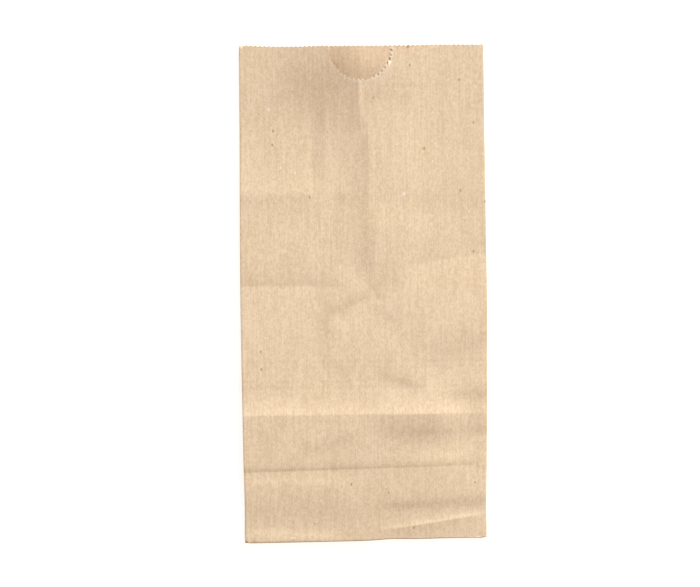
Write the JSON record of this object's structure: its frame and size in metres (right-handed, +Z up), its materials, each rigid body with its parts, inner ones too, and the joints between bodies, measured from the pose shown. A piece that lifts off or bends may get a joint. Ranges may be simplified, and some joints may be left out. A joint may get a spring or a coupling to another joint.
{
  "type": "paper bag",
  "caption": "Flat-folded brown kraft paper bag with tucked side gussets, a block bottom folded up behind it, a toothed mouth and a thumb notch.",
  "frame": {"origin": "centre of the bag's outline, on the surface that it lies on", "axes": "+X to the bag's right, +Y along the bag towards its mouth, +Z up out of the front panel"},
  "size_m": [0.13, 0.265, 0.0029],
  "materials": {
    "kraft_paper": "matte unbleached brown kraft paper with fine ribs along the bag"
  },
  "bodies": {
    "root": {"paper_bag": "kraft_paper"}
  },
  "joints": []
}
